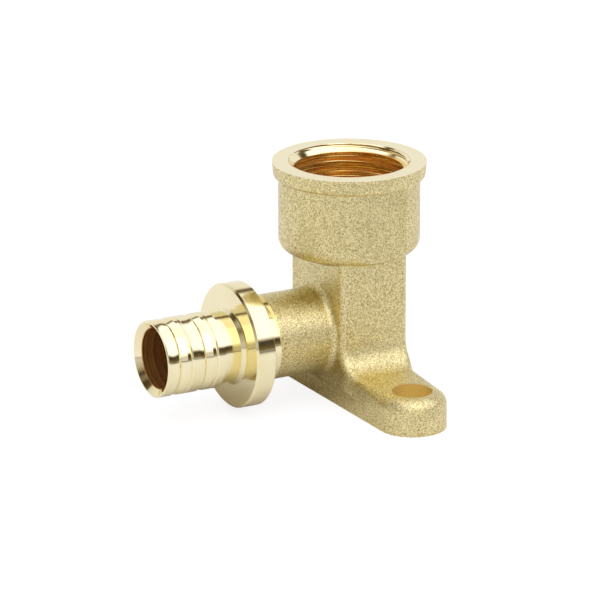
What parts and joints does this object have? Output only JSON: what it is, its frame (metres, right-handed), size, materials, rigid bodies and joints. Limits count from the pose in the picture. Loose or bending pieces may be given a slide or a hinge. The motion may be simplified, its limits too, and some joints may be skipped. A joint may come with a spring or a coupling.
{
  "type": "wall plate elbow",
  "caption": "Forged brass wall plate elbow: threaded socket up, ribbed pipe spigot with stop collar to the side, and a base bar with a screw ear at each end.",
  "frame": {"origin": "on the socket axis, in the flat underside that rests on the wall", "axes": "+Z along the socket axis out of its mouth, -X along the pipe spigot out of its mouth, Y along the bar with the two screw ears"},
  "size_m": [0.0523, 0.0558, 0.0419],
  "materials": {
    "brass": "blasted forging, turned bright at the socket, the spigot and the holes"
  },
  "bodies": {
    "root": {"elbow_body": "brass"}
  },
  "joints": []
}
